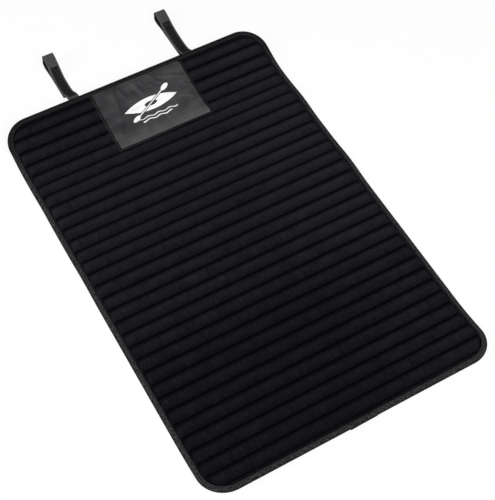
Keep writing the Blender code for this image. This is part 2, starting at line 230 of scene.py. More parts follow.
def closedSheet(name, x, s, upper, lowerColumns, lower, paint, sharp=50):
    # A thin closed cloth on the mat: a fine grid above, a coarser one of the same rows below
    picked = np.linspace(x.shape[1] - 1, 0, lowerColumns).round().astype(int)
    flatX = np.concatenate([x, x[:, picked]], axis=1)
    flatS = np.concatenate([s, s[:, picked]], axis=1)
    level = np.concatenate([upper, lower[:, picked]], axis=1)
    uv = np.stack([flatX, flatS], axis=-1)
    uv = np.concatenate([uv, uv[:, :1]], axis=1)
    return carried(name, onMat(flatX, flatS, level), uv, paint, sharp=sharp)


def threads(name, middle, along, normal, length, radius, rise, paint, stations=4, sides=4):
    # Many stitches at once: each a short arched thread, thin at both ends, round its own middle
    t = np.linspace(-0.5, 0.5, stations)
    turn = np.arange(sides) * 2 * math.pi / sides + math.pi / sides
    side = np.cross(along, normal)
    side = side / np.linalg.norm(side, axis=-1, keepdims=True)
    thin = np.where(np.abs(t) > 0.49, 0.5, 1.0)[None, :, None, None] * radius
    arch = (rise * (1 - (2 * t) ** 2))[None, :, None]
    spine = middle[:, None] + along[:, None] * t[None, :, None] * length + normal[:, None] * arch
    ring = (side[:, None, None] * np.cos(turn)[None, None, :, None]
            + normal[:, None, None] * np.sin(turn)[None, None, :, None])
    points = (spine[:, :, None] + ring * thin).reshape(-1, 3)
    count = len(middle)
    k, i, j = np.meshgrid(np.arange(count), np.arange(stations - 1), np.arange(sides), indexing="ij")
    base = k * stations * sides
    after = (j + 1) % sides
    quads = np.stack([base + i * sides + j, base + (i + 1) * sides + j,
                      base + (i + 1) * sides + after, base + i * sides + after], axis=-1).reshape(-1, 4)
    first = (np.arange(count) * stations * sides)[:, None] + np.arange(sides)[None, :]
    last = (first + (stations - 1) * sides)[:, ::-1]
    faces = quads.tolist() + first.tolist() + last.tolist()
    corners = sum(len(face) for face in faces)
    return newPiece(name, points, faces, np.zeros((corners, 2)), paint, sharp=80)


def levelOf(cloth, x, s):
    # The level of a cloth, given as its grid of x, its rows and its levels, at flat places
    gridX, rows, level = cloth
    x, s = np.broadcast_arrays(x, s)
    row = np.clip(np.searchsorted(rows, s) - 1, 0, len(rows) - 2)
    found = np.empty(x.shape)
    for k in np.unique(row):
        here = row == k
        low, high = (np.interp(x[here], gridX[i], level[i]) for i in (k, k + 1))
        found[here] = low + (high - low) * (s[here] - rows[k]) / (rows[k + 1] - rows[k])
    return found


def runAlong(points):
    # The length of a line of points up to each of them
    return np.concatenate([[0], np.cumsum(np.linalg.norm(np.diff(points, axis=0), axis=1))])


def pointLayer(piece, name, values):
    # A number for each vertex, which the piece's material reads
    layer = piece.data.attributes.new(name, "FLOAT", "POINT")
    layer.data.foreach_set("value", values.astype(np.float32).ravel())


def ahead(points):
    # Unit directions along a line of points
    step = np.gradient(points, axis=0)
    return step / np.linalg.norm(step, axis=-1, keepdims=True)


# Shaders


class Value:
    # A number socket that takes part in Python expressions
    def __init__(self, paint, socket):
        self.paint, self.socket = paint, socket

    def __add__(self, other): return self.paint.maths("ADD", self, other)
    def __radd__(self, other): return self.paint.maths("ADD", other, self)
    def __sub__(self, other): return self.paint.maths("SUBTRACT", self, other)
    def __rsub__(self, other): return self.paint.maths("SUBTRACT", other, self)
    def __mul__(self, other): return self.paint.maths("MULTIPLY", self, other)
    def __rmul__(self, other): return self.paint.maths("MULTIPLY", other, self)
    def __truediv__(self, other): return self.paint.maths("DIVIDE", self, other)
    def __mod__(self, other): return self.paint.maths("FLOORED_MODULO", self, other)
    def __abs__(self): return self.paint.maths("ABSOLUTE", self)
    def least(self, other): return self.paint.maths("MINIMUM", self, other)
    def most(self, other): return self.paint.maths("MAXIMUM", self, other)
    def sine(self): return self.paint.maths("SINE", self)
    def root(self): return self.paint.maths("SQRT", self)
    def whole(self): return self.paint.maths("FLOOR", self)

    def ramp(self, low, high, start=0.0, end=1.0):
        # Smooth change from start to end while the value goes from low to high
        return Value(self.paint, self.paint.node(
            "ShaderNodeMapRange", {"interpolation_type": "SMOOTHSTEP"},
            {"Value": self, "From Min": low, "From Max": high, "To Min": start, "To Max": end}).outputs[0])


class Paint:
    # One material and its nodes
    def __init__(self, name, roughness, specular, sheen=0.0):
        self.material = bpy.data.materials.new(name)
        self.material.use_nodes = True
        self.tree = self.material.node_tree
        self.shader = self.tree.nodes["Principled BSDF"]
        self.set(Roughness=roughness, Metallic=0.0)
        self.shader.inputs["Specular IOR Level"].default_value = specular
        self.shader.inputs["Sheen Weight"].default_value = sheen
        self.shader.inputs["Sheen Roughness"].default_value = 0.5
        place = self.node("ShaderNodeTexCoord")
        self.uv = place.outputs["UV"]
        self.object = place.outputs["Object"]
        split = self.node("ShaderNodeSeparateXYZ", {}, {0: self.uv})
        self.u, self.v = Value(self, split.outputs[0]), Value(self, split.outputs[1])

    def node(self, kind, settings=None, inputs=None):
        node = self.tree.nodes.new(kind)
        for key, setting in (settings or {}).items():
            setattr(node, key, setting)
        for key, value in (inputs or {}).items():
            self.feed(node.inputs[key], value)
        return node

    def feed(self, socket, value):
        value = value.socket if isinstance(value, Value) else value
        if isinstance(value, bpy.types.NodeSocket):
            self.tree.links.new(value, socket)
        else:
            socket.default_value = value

    def maths(self, operation, *values):
        node = self.node("ShaderNodeMath", {"operation": operation}, dict(enumerate(values)))
        return Value(self, node.outputs[0])

    def set(self, **inputs):
        for name, value in inputs.items():
            self.feed(self.shader.inputs[name.replace("_", " ")], value)

    def noise(self, place, scale, detail=2.0, rough=0.5):
        # Noise from 0 to 1; scale is one number or three, in features a metre
        scale = (scale,) * 3 if isinstance(scale, (int, float)) else scale
        spread = self.node("ShaderNodeVectorMath", {"operation": "MULTIPLY"}, {0: place, 1: scale})
        out = self.node("ShaderNodeTexNoise", {}, {"Vector": spread.outputs[0], "Scale": 1.0,
                                                   "Detail": detail, "Roughness": rough})
        return Value(self, out.outputs["Fac"])

    def attribute(self, name):
        return Value(self, self.node("ShaderNodeAttribute", {"attribute_name": name}).outputs["Fac"])

    def mix(self, factor, low, high):
        # A colour between two
        node = self.node("ShaderNodeMix", {"data_type": "RGBA"}, {0: factor})
        for socket, colour in ((node.inputs[6], low), (node.inputs[7], high)):
            self.feed(socket, (*colour, 1) if isinstance(colour, tuple) and len(colour) == 3 else colour)
        return node.outputs[2]

    def bump(self, height, distance, strength=1.0):
        node = self.node("ShaderNodeBump", {},
                         {"Height": height, "Distance": distance, "Strength": strength})
        self.feed(self.shader.inputs["Normal"], node.outputs[0])


def facePaint():
    # Brushed black cloth: fine streaks along the mat, a knit too small to see apart, painted shade in the
    # furrows and on the slopes
    look = dict(cloth=(0.0042, 0.0040, 0.0062), paleToneAndPaintedLight=(0.0158, 0.0152, 0.0200),
                deep=(0.0006, 0.0006, 0.0010))
    paint = Paint("brushedCloth", 0.92, 0.03)
    streak = paint.noise(paint.uv, (300, 45, 1), 4, 0.65)
    cloud = paint.noise(paint.uv, (26, 40, 1), 2, 0.5)
    knit = (paint.u * 2 * math.pi / 0.0011).sine() * (paint.v * 2 * math.pi / 0.0014).sine()
    lint = paint.noise(paint.uv, (440, 440, 1), 2, 0.6)
    light = (streak - 0.5) * 1.5 + (cloud - 0.5) * 0.6 + (lint - 0.5) * 2.1 + knit * 0.04 + 0.42
    # Painted light and shade in broad tones, matched to the photo's brightness: lighter towards the
    # right, beside the binding and past the middle; darker over the near third and the last channel
    light = light + abs(paint.u).ramp(0.2845, 0.2875, 0.0, 0.20) + paint.u.ramp(0.0, 0.27, 0.05, 0.29)
    light = light + paint.v.ramp(0.42, 0.68, 0.0, 0.13) - paint.v.ramp(0.74, 0.84, 0.0, 0.12)
    light = light - paint.v.ramp(0.42, 0.22, 0.0, 0.27) - paint.v.ramp(0.877, 0.889, 0.0, 0.38)
    body = paint.mix(light.ramp(0.0, 1.0), look["cloth"], look["paleToneAndPaintedLight"])
    # Painted shade: the furrow layer darkens the cloth to near black in the furrows, on the slopes and
    # under the binding
    furrow = paint.attribute("furrow")
    paint.set(Base_Color=paint.mix(furrow, body, look["deep"]), Roughness=0.96 - light * 0.08)
    paint.bump(knit * 0.3 + streak * 0.9 + lint * 0.8, 0.00025, 0.8)
    return paint.material


def foamPaint():
    # Closed-cell foam: small round cells
    look = dict(foam=(0.15, 0.15, 0.16), cell=(0.08, 0.08, 0.085), cells=900)
    paint = Paint("closedCellFoam", 0.95, 0.2)
    cells = paint.node("ShaderNodeTexVoronoi", {}, {"Vector": paint.object, "Scale": look["cells"]})
    wall = Value(paint, cells.outputs["Distance"])
    paint.set(Base_Color=paint.mix(wall.ramp(0.1, 0.7), look["cell"], look["foam"]))
    paint.bump(wall, 0.0003, 0.6)
    return paint.material


def gripPaint():
    # Coated net: raised strands in both directions with a pit in each cell
    look = dict(strand=(0.026, 0.026, 0.027), pit=(0.006, 0.006, 0.006), cell=0.0036)
    paint = Paint("coatedNet", 0.55, 0.35)
    bend = paint.noise(paint.uv, 150, 2, 0.5) * 0.0006
    across = abs(((paint.u + bend) / look["cell"]) % 1.0 - 0.5) * 2
    along = abs(((paint.v + bend) / look["cell"]) % 1.0 - 0.5) * 2
    net = across.most(along).ramp(0.35, 0.8)
    blob = paint.noise(paint.uv, 1100, 2, 0.5)
    paint.set(Base_Color=paint.mix(net, look["pit"], look["strand"]),
              Roughness=0.75 - net * 0.25 + blob * 0.1)
    paint.bump(net + blob * 0.15, 0.0007, 0.9)
    return paint.material


def tapePaint():
    # Ribbed woven tape: u runs along it and v across, both in metres
    look = dict(rib=0.0010, yarn=0.0007, low=(0.0045, 0.0045, 0.0047), high=(0.070, 0.0675, 0.0700),
                inner=(0.004, 0.004, 0.0045))
    paint = Paint("ribbedTape", 0.80, 0.03)
    rib = (paint.u * 2 * math.pi / look["rib"]).sine()
    yarn = (paint.v * 2 * math.pi / look["yarn"] + (paint.u / look["rib"]).whole() * math.pi).sine()
    tone = paint.noise(paint.uv, (330, 330, 1), 3, 0.7)
    weave = (rib * 0.5 + 0.5) * (yarn * 0.25 + 0.75)
    shade = (weave * 0.35 + tone * 3.0 - 1.25).ramp(0.0, 1.0)
    body = paint.mix(shade, look["low"], look["high"])
    # Painted shade: darker at the inner margin that the thread draws down, along the fold and at the far
    # end
    inner, far = paint.v.ramp(0.0050, 0.0006, 0.0, 0.84), paint.attribute("farShade")
    margin = (inner + far - inner * far).most(paint.v.ramp(0.0070, 0.0092, 0.0, 0.55))
    paint.set(Base_Color=paint.mix(margin, body, look["inner"]), Roughness=0.82 - weave * 0.2)
    paint.bump(weave + tone * 0.3, 0.0003, 0.8)
    return paint.material


def webbingPaint():
    # Plain webbing: warp yarns run along it and lie over and under in turn, denser at its edges
    look = dict(warp=0.0013, weft=0.0011, low=(0.020, 0.020, 0.021), high=(0.114, 0.108, 0.104),
                inner=(0.005, 0.005, 0.005), width=0.0246)
    paint = Paint("wovenWebbing", 0.70, 0.20, 0.08)
    inside = paint.u.ramp(0.2, 0.3)
    row = (paint.v / look["weft"]).whole()
    warp = (paint.u * 2 * math.pi / look["warp"] + row * math.pi).sine() * 0.5 + 0.5
    weft = abs(((paint.v / look["weft"]) % 1.0) - 0.5) * 2
    weave = warp * (1 - weft * weft * 0.7)
    edge = abs(paint.u - inside * 0.5).ramp(look["width"] / 2 - 0.0026, look["width"] / 2 - 0.0010)
    tone = paint.noise(paint.uv, (350, 350, 1), 3, 0.6)
    shade = (weave * 0.55 + tone * 0.5 - 0.05 + edge * 0.25).ramp(0.0, 1.1)
    body = paint.mix(shade, look["low"], look["high"])
    # Painted shade: the inner side of the loop is near black
    paint.set(Base_Color=paint.mix(inside, body, look["inner"]), Roughness=0.85 - weave * 0.15)
    paint.bump(weave + tone * 0.2, 0.0004, 0.9)
    return paint.material


def pilePaint():
    # Looped pile, black with dusty tips
    look = dict(low=(0.0012, 0.0012, 0.0014), high=(0.040, 0.040, 0.041))
    paint = Paint("loopedPile", 0.95, 0.03, 0.02)
    fluff = paint.noise(paint.object, 900, 3, 0.7)
    tuft = paint.noise(paint.object, 520, 2, 0.6)
    paint.set(Base_Color=paint.mix((fluff * 0.5 + tuft * 0.8).ramp(0.50, 0.85), look["low"], look["high"]))
    paint.bump(fluff + tuft, 0.0006, 1.0)
    return paint.material


def hookPaint():
    # Moulded hooks and their woven ground
    look = dict(low=(0.006, 0.006, 0.006), high=(0.030, 0.030, 0.031))
    paint = Paint("hookTape", 0.45, 0.4)
    grain = paint.noise(paint.object, 1800, 2, 0.5)
    paint.set(Base_Color=paint.mix(grain, look["low"], look["high"]), Roughness=0.40 + grain * 0.2)
    paint.bump(grain, 0.0002, 0.5)
    return paint.material


def threadPaint(name, colour, lit):
    # Twisted sewing thread
    paint = Paint(name, 0.5, 0.4, 0.1)
    twist = paint.noise(paint.object, 2400, 2, 0.5)
    paint.set(Base_Color=paint.mix(twist, colour, lit), Roughness=0.45 + twist * 0.2)
    paint.bump(twist, 0.0001, 0.5)
    return paint.material


# Top cloth

faceLook = dict(
    columns=214,
    edgeInsets=(0.0013, 0.0045, 0.0080, 0.0105, 0.0125, 0.0132, 0.0138, 0.0147, 0.0160, 0.0180, 0.0206),
    channelSteps=(0, 0.022, 0.065, 0.13, 0.22, 0.34, 0.47, 0.60, 0.72, 0.83, 0.915, 0.972),
    crest=0.0078, crestAt=0.61, shoulder=0.0115, furrowWidth=0.0017, farShade=0.84, nearShade=0.52,
    pucker=0.00030, puckerLength=0.0062, puckerReach=0.0065, slack=0.00030,
    simulated=6, growth=0.014, pressure=0.35, frames=22, most=0.0008,
)


def clothGrid(steps, insets, columns, turnStep):
    # Rows at these shares of every channel, and at even turns of the round ends; in each row the
    # insets from both sides, and even shares of what is between them
    rows = [a + (b - a) * t for a, b in zip(channels[:-1], channels[1:]) for t in steps]
    turn = np.radians(np.arange(0, 41, turnStep))
    arc = mat["clothInset"] + (mat["corner"] - mat["clothInset"]) * (1 - np.cos(turn))
    arc = arc[arc < mat["fieldInset"] - 0.0006]
    rows = np.unique(np.round(np.concatenate([rows, channels[-1:], arc, mat["length"] - arc]), 6))
    sides = np.stack([halfWidth(rows, inset) for inset in insets], axis=1)
    share = np.linspace(-1, 1, columns - 2 * len(insets) + 2)[1:-1]
    x = np.concatenate([-sides, sides[:, -1:] * share[None, :], sides[:, ::-1]], axis=1)
    return x, np.repeat(rows[:, None], x.shape[1], axis=1)


def puckers(x, s, depth):
    # The thread draws the cloth up: ripples across each seam that fade out over the channel
    near = nearestSeam(s)
    row = np.searchsorted(channels, s)
    wave = softNoise(x / faceLook["puckerLength"], row * 7.3 + (near > 0) * 0.4, 5)
    fade = np.exp(-((near - 0.003) / faceLook["puckerReach"]) ** 2) * smoothStep(near, 0, 0.0018)
    slack = softNoise(x / 0.055, s / 0.021, 8) * 0.6 + softNoise(x / 0.021, s / 0.012, 9) * 0.4
    inside = smoothStep(depth, mat["fieldInset"] + 0.002, mat["fieldInset"] + 0.012)
    slack = slack * smoothStep(near, 0.001, 0.009)
    return (faceLook["pucker"] * wave * fade + faceLook["slack"] * slack) * inside


def relaxedCloth(points, rows, columns, pinned, growth, pressure, frames):
    # Blender's cloth on a grid, ten times as large: it grows a little, is blown up a little and settles
    size = 10.0
    i, j = np.meshgrid(np.arange(rows - 1), np.arange(columns - 1), indexing="ij")
    corner = (i * columns + j).ravel()
    mesh = bpy.data.meshes.new("looseCloth")
    faces = np.stack([corner, corner + 1, corner + columns + 1, corner + columns], axis=1)
    mesh.from_pydata((points.reshape(-1, 3) * size).tolist(), [], faces.tolist())
    loose = bpy.data.objects.new("looseCloth", mesh)
    bpy.context.scene.collection.objects.link(loose)
    loose.vertex_groups.new(name="sewn").add(np.flatnonzero(pinned.ravel()).tolist(), 1.0, "REPLACE")
    cloth = loose.modifiers.new("looseCloth", "CLOTH")
    settings = cloth.settings
    settings.quality, settings.mass = 6, 0.3
    settings.tension_stiffness = settings.compression_stiffness = 15
    settings.shear_stiffness, settings.bending_stiffness = 5, 4
    settings.use_pressure, settings.uniform_pressure_force = True, pressure
    settings.vertex_group_mass, settings.shrink_min = "sewn", -growth
    settings.effector_weights.gravity = 0
    cloth.collision_settings.use_collision = False
    cloth.point_cache.frame_start, cloth.point_cache.frame_end = 1, frames
    for step in range(1, frames + 1):
        bpy.context.scene.frame_set(step)
    settled = loose.evaluated_get(bpy.context.evaluated_depsgraph_get()).to_mesh()
    moved = np.empty(len(points.reshape(-1, 3)) * 3)
    settled.vertices.foreach_get("co", moved)
    bpy.data.objects.remove(loose)
    bpy.data.meshes.remove(mesh)
    bpy.context.scene.frame_set(1)
    return moved.reshape(points.shape) / size


def simulatedPuckers(x, s, depth):
    # Six channels are sewn down and relaxed; the others take their puckers in turn, every second
    # set mirrored
    count, steps = faceLook["simulated"], np.array(faceLook["channelSteps"])
    first = channels[3]
    own = [first + mat["pitch"] * (k + steps) for k in range(count)]
    own = np.concatenate(own + [[first + mat["pitch"] * count]])
    across = np.linspace(-0.287, 0.287, 208)
    gridX, gridS = np.meshgrid(across, own)
    before = np.stack([gridX, gridS, clothLevel(gridS, 0.287 - np.abs(gridX) + mat["fieldInset"])], axis=-1)
    pinned = np.zeros(gridX.shape, bool)
    pinned[::len(steps)] = True
    pinned[:, [0, -1]] = True
    after = relaxedCloth(before, *gridX.shape, pinned,
                         faceLook["growth"], faceLook["pressure"], faceLook["frames"])
    change = after[..., 2] - before[..., 2]
    print("puckers: sd %.2f mm, most %.2f mm" % (change.std() * 1000, np.abs(change).max() * 1000))
    change = change - change.mean(axis=1, keepdims=True) * 0.8
    change = faceLook["most"] * np.tanh(change / faceLook["most"])
    lift = np.zeros_like(x)
    for row in range(len(x)):
        place = (s[row, 0] - channels[1]) / mat["pitch"]
        if 0 <= place < len(seams) - 1:
            turn = int(place) // count
            base = int(place % count) * len(steps)
            k = int(np.clip(np.searchsorted(steps, place % 1 + 1e-4) - 1, 0, len(steps) - 1))
            source = change[base + k]
            lift[row] = np.interp(x[row] * (-1 if turn % 2 else 1), across, source)
    return lift * smoothStep(depth, mat["fieldInset"], mat["fieldInset"] + 0.010)


def channelShade(s):
    # How dark the cloth is painted, matched to the photo's brightness: painted shade, deep black in the
    # furrow, dark on both slopes and more so on the far one
    share, width = placeInChannel(s)
    furrow = np.exp(-(nearestSeam(s) / faceLook["furrowWidth"]) ** 2)
    slope = smoothStep(share, 0.58, 0.88) * faceLook["farShade"]
    near = smoothStep(share, 0.60, 0.02) * faceLook["nearShade"]
    return 1 - (1 - furrow) * (1 - np.maximum(slope, near))


def makeFace():
    x, s = clothGrid(faceLook["channelSteps"], faceLook["edgeInsets"], faceLook["columns"], 5)
    depth = depthInside(x, s)
    lift = puckers(x, s, depth)
    lift = lift * 0.5 + simulatedPuckers(x, s, depth)
    level = np.maximum(clothLevel(s, depth) + lift, faceLevel(s, depth) + 0.00015)
    # Its lower side is coarse, so it keeps clear of the puckers
    lower = np.maximum(clothLevel(s, depth) - mat["face"] - 0.0006, faceLevel(s, depth) - mat["face"])
    piece = closedSheet("faceCloth", x, s, level, 9, lower, facePaint())
    # Painted shade: the channels' furrows and slopes, the cloth's edge under the binding and its whole
    # lower side
    dark = channelShade(s) * (depth > mat["fieldInset"] - 0.002)
    dark = np.maximum(dark, smoothStep(depth, 0.0098, 0.0086))
    picked = np.linspace(x.shape[1] - 1, 0, 9).round().astype(int)
    dark = np.concatenate([dark, np.ones((len(s), len(picked)))], axis=1)
    pointLayer(piece, "furrow", dark)
    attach(piece, "root")
    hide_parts("face_fabric")
    print("face cloth:", len(piece.data.polygons), "faces")
    return piece, (x, s[:, 0], level)


# Seam threads

seamLook = dict(pitch=0.0040, length=0.0034, radius=0.00022, rise=0.00008, reach=0.0135)


def seamThreads(name, level, up, paint):
    # A stitch every few millimetres along every seam
    middles = []
    for seam in seams:
        reach = halfWidth(seam, seamLook["reach"])
        count = int(2 * reach / seamLook["pitch"])
        x = (np.arange(count) - (count - 1) / 2) * seamLook["pitch"]
        middles.append(np.stack([x, np.full(count, seam)], axis=1))
    flat = np.concatenate(middles)
    rng = np.random.default_rng(3)
    flat = flat + rng.normal(0, 0.00012, flat.shape)
    normal = matNormal(flat[:, 1]) * up
    along = np.tile([1.0, 0, 0], (len(flat), 1)) + rng.normal(0, 0.02, (len(flat), 3))
    piece = threads(name, onMat(flat[:, 0], flat[:, 1], level), along, normal,
                    seamLook["length"], seamLook["radius"], seamLook["rise"], paint)
    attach(piece, "root")
    return piece


# Underside

backLook = dict(columns=60, steps=(0, 0.06, 0.12, 0.3, 0.5, 0.7, 0.88, 0.94))


def makeBacking():
    # Lies flat, lifted a little under each seam and over the binding's fold at its edge
    overFold = bindLook["flange"] + mat["gap"]
    insets = (0.0013, 0.0055, overFold, 0.0115, mat["fieldInset"])
    x, s = clothGrid(backLook["steps"], insets, backLook["columns"], 8)
    depth = depthInside(x, s)
    edge = np.clip((mat["fieldInset"] - depth) / (mat["fieldInset"] - overFold), 0, 1)
    under = (bindLook["tape"] + mat["gap"]) * edge + dimple(s, depth)
    piece = closedSheet("gripCloth", x, s, under + mat["backing"], x.shape[1], under, gripPaint())
    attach(piece, "root")
    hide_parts("grip_backing")
    print("grip cloth:", len(piece.data.polygons), "faces")
    return piece


# Binding

bindLook = dict(
    tape=0.0007, flange=0.0095, fold=0.0024, crown=0.0008, dome=0.00025, step=0.0042, cornerStep=3.5,
    outset=0.0011, endOutset=0.0006, lapStart=-0.022, lapLength=0.056, lapBulge=0.0021, lapEnd=0.4,
    stitchInset=0.0078, stitch=0.0036, gather=0.00022, farShade=0.74, nearShade=0.10,
    thread=(0.0027, 0.00026, 0.00016),    # a stitch's length, radius and rise
)
edgeThickness = seamLevel + mat["face"] + mat["gap"] + bindLook["tape"]


def outline():
    # Stations round the edge, anticlockwise: x, s, the inward direction and the run along the edge
    straightX, straightS = mat["width"] / 2 - mat["corner"], mat["length"] / 2 - mat["corner"]
    pieces = []
    acrossSteps = np.arange(-straightX, straightX, bindLook["step"])
    ends = bindLook["lapStart"] + np.array([[0], [bindLook["lapLength"]]])
    lap = (ends + np.array([-0.0006, 0.0002, 0.0009, 0.0018])).ravel()
    near = np.unique(np.concatenate([acrossSteps, lap]))
    up = np.arange(-straightS, straightS, bindLook["step"])
    turn = np.radians(np.arange(0, 90, bindLook["cornerStep"]))
    runs = ((near, 0, -1, -90), (up, 1, 0, 0), (-acrossSteps, 0, 1, 90), (-up, -1, 0, 180))
    middle = mat["length"] / 2
    for (run, outX, outS, start), (cornerX, cornerS) in zip(runs, ((1, -1), (1, 1), (-1, 1), (-1, -1))):
        ones = np.ones_like(run)
        if outS:
            side = [run, middle + outS * mat["length"] / 2 * ones, 0 * ones, -outS * ones]
        else:
            side = [outX * mat["width"] / 2 * ones, middle + run, -outX * ones, 0 * ones]
        angle = turn + math.radians(start)
        outward = np.stack([np.cos(angle), np.sin(angle)], axis=1)
        centre = np.array([cornerX * straightX, middle + cornerS * straightS])
        corner = np.concatenate([centre + mat["corner"] * outward, -outward], axis=1)
        pieces += [np.stack(side, axis=1), corner]
    stations = np.concatenate(pieces)
    gaps = np.linalg.norm(np.diff(stations[:, :2], axis=0, append=stations[:1, :2]), axis=1)
    keep = gaps > 0.0002
    stations, gaps = stations[keep], gaps[keep]
    return stations, np.concatenate([[0], np.cumsum(gaps)])


def makeBinding():
    # The tape's section: over the top, round the fold, back underneath, then its inner side
    stations, run = outline()
    x, s, inX, inS = stations.T
    top, tape, flange, fold = edgeThickness, bindLook["tape"], bindLook["flange"], bindLook["fold"]
    t = np.linspace(0, 1, 12)
    rise = bindLook["crown"] * (1 - t) + bindLook["dome"] * np.sin(math.pi * t) - 0.0002 * t
    over = np.stack([flange + (fold - flange) * t, top + rise], axis=1)
    turn = np.linspace(0, math.pi, 11)[1:-1]
    round_ = np.stack([fold - fold * np.sin(turn), top / 2 + (top / 2 - 0.0002) * np.cos(turn)], axis=1)
    below = np.stack([fold + (flange - fold) * np.linspace(0, 1, 6), np.zeros(6)], axis=1)
    inner = np.array([(flange, tape), (0.004, tape), (tape + 0.0006, tape), (tape, tape + 0.0005),
                      (tape, top - tape - 0.0005), (tape + 0.0006, top - tape),
                      (0.004, top - tape + 0.0001), (flange, top - tape + bindLook["crown"])])
    section = np.concatenate([over, round_, below, inner])
    outer = len(section) - len(inner)
    inset = np.repeat(section[None, :, 0], len(stations), axis=0)
    level = np.repeat(section[None, :, 1], len(stations), axis=0)
    isOuter = np.arange(len(section)) < outer
    # The padding pushes the fold out a little. The lap: a step where it starts, thinner along its length
    share = (x - bindLook["lapStart"]) / bindLook["lapLength"]
    onLap = np.where(s < 0.001, smoothStep(share, -0.01, 0.012) * smoothStep(share, 1.03, 0.995), 0)
    bulge = bindLook["lapBulge"] * onLap * (1 - (1 - bindLook["lapEnd"]) * np.clip(share, 0, 1) ** 0.7)
    upper = smoothStep(section[:, 1], top * 0.3, top * 0.7)[None, :]
    atEdge = smoothStep(section[:, 0], fold, 0.0)[None, :] * isOuter
    level = level + bulge[:, None] * 0.6 * upper * isOuter
    outset = bindLook["outset"] + bindLook["endOutset"] * np.abs(inS)
    inset = inset - (bulge + outset)[:, None] * atEdge
    # Small gathers where the thread holds it, more at the corners, and an inner edge that wanders
    corner = smoothStep(np.abs(inX * inS), 0.05, 0.4)
    wave = softNoise(run[:-1] / 0.0075, 0.5, 21) + 1.2 * corner * softNoise(run[:-1] / 0.0042, 0.5, 23)
    free = smoothStep(section[:, 0], 0.001, 0.006)[None, :]
    level = level + bindLook["gather"] * (wave[:, None] + 0.6) * upper * free
    wander = 0.0004 * softNoise(run[:-1] / 0.045, 0.5, 22)[:, None]
    inset = inset + wander * smoothStep(section[:, 0], 0.006, flange)[None, :]
    # It rises over the label's tucked edge
    half = labelLook["width"] / 2
    label = smoothStep(np.abs(x - labelLook["shift"]), half + 0.003, half) * (s > mat["length"] - 0.001)
    overLabel = labelLook["cloth"] * label
    level = level + overLabel[:, None] * upper * smoothStep(section[:, 0], 0.0025, 0.006)[None, :]
    points = onMat(x[:, None] + inX[:, None] * inset, s[:, None] + inS[:, None] * inset, level)
    # u runs along the tape, v across it
    across = runAlong(np.concatenate([section, section[:1]]))
    uv = np.stack(np.meshgrid(run, across, indexing="ij"), axis=-1)
    piece = carried("bindingTape", points, uv, tapePaint(), closed=True, sharp=55)
    # Painted shade on the tape: much darker at the far end, a little at the near end
    far = smoothStep(s, mat["length"] - 0.110, mat["length"] - 0.050) * bindLook["farShade"]
    far = np.maximum(far, smoothStep(s, 0.030, 0.0) * bindLook["nearShade"])
    pointLayer(piece, "farShade", np.repeat(far, len(section)))
    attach(piece, "root")
    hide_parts("edge_binding")
    print("binding:", len(piece.data.polygons), "faces")

    count = int(run[-1] / bindLook["stitch"])
    at = (np.arange(count) + 0.5) * run[-1] / count
    closedRun = lambda values: np.interp(at, run, np.append(values, values[0]))
    flatX = closedRun(x + inX * bindLook["stitchInset"])
    flatS = closedRun(s + inS * bindLook["stitchInset"])
    lift = closedRun(bindLook["gather"] * (wave + 0.6) + overLabel) + bindLook["crown"] * 0.75
    for name, level, up in (("bindingThread", top + 0.0002 + lift, 1),
                            ("bindingThreadUnder", 0.0001 + 0 * lift, -1)):
        middle = onMat(flatX, flatS, level)
        after = np.roll(middle, -1, axis=0) - np.roll(middle, 1, axis=0)
        direction = after / np.linalg.norm(after, axis=1, keepdims=True)
        thread = threads(name, middle, direction, matNormal(flatS) * up, *bindLook["thread"],
                         greyThread, stations=5, sides=5)
        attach(thread, "root")
    return piece


# Label

labelLook = dict(
    width=0.2185, reach=0.159, shift=0.006, hem=0.0044, cloth=0.00045, tuck=0.0045, sag=0.32, hemSag=0.80,
    rightIn=0.0062, columns=150, rows=110, creases=2.3,
    stitch=0.0033, thread=(0.0026, 0.0002, 0.0001),    # a stitch's length, radius and rise
)


